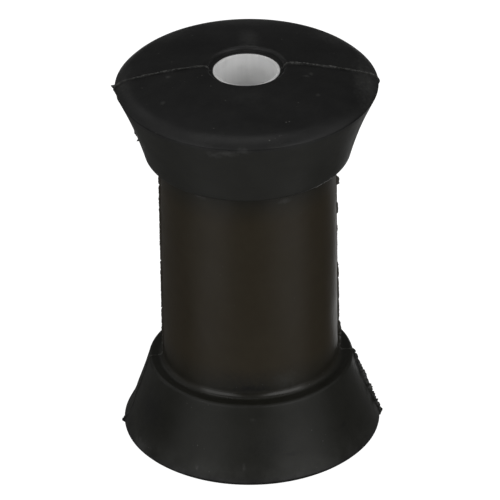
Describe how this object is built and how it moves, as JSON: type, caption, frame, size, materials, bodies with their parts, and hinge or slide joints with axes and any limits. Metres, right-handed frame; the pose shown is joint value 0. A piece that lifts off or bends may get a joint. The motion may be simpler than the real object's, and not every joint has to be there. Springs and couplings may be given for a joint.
{
  "type": "boat trailer roller",
  "caption": "Rubber keel roller for a boat trailer: a spool with domed ends, conical flares and a straight barrel, its bore lined with a plastic tube for the shaft.",
  "frame": {"origin": "on the bore's axis, half way between the two end lands", "axes": "+Z along the bore, out of one end; the mould's parting plane, where the flash stands, is the XZ plane; the roller stands on its -Z end"},
  "size_m": [0.0728, 0.07, 0.1167],
  "materials": {
    "rubber": "moulded black rubber, semi-matt",
    "liner_plastic": "extruded white plastic, matt"
  },
  "bodies": {
    "root": {"roller_body": "rubber", "bore_liner": "liner_plastic"}
  },
  "joints": []
}
